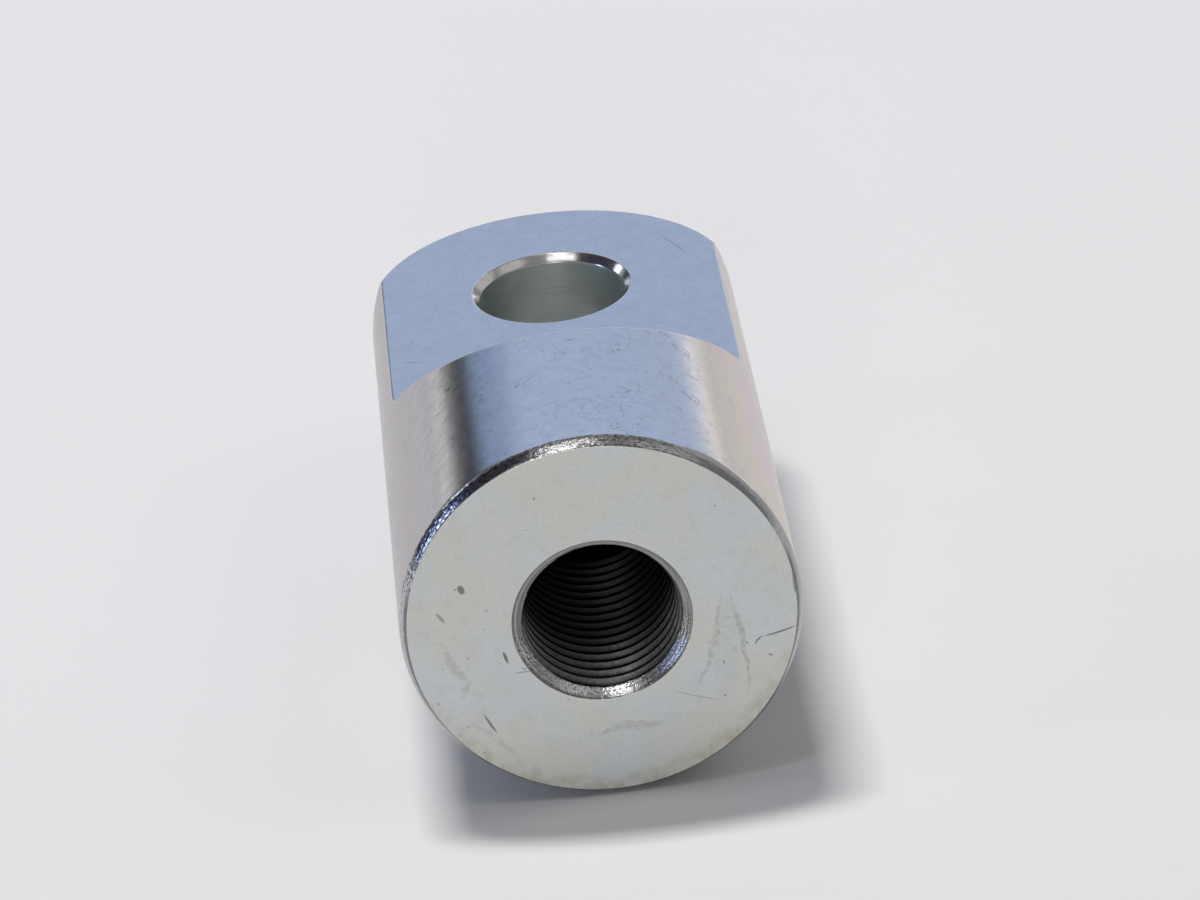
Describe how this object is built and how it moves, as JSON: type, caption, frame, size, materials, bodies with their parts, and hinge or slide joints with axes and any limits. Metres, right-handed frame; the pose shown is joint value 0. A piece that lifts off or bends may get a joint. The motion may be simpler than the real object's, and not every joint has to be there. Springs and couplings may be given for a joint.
{
  "type": "eye nut",
  "caption": "Eye nut turned from round bar, with a blind fine-threaded end, slanted milled shoulders and a flat tang with a cross hole for a pin.",
  "frame": {"origin": "centre of the threaded end face, which is the centre of the box's base", "axes": "+Z along the bar from the threaded end towards the eye, Y along the pin hole, X across the tang"},
  "size_m": [0.037, 0.037, 0.075],
  "materials": {
    "zinc_plated_steel": "satin bright zinc plating over turned and milled steel"
  },
  "bodies": {
    "root": {"eye_nut": "zinc_plated_steel"}
  },
  "joints": []
}
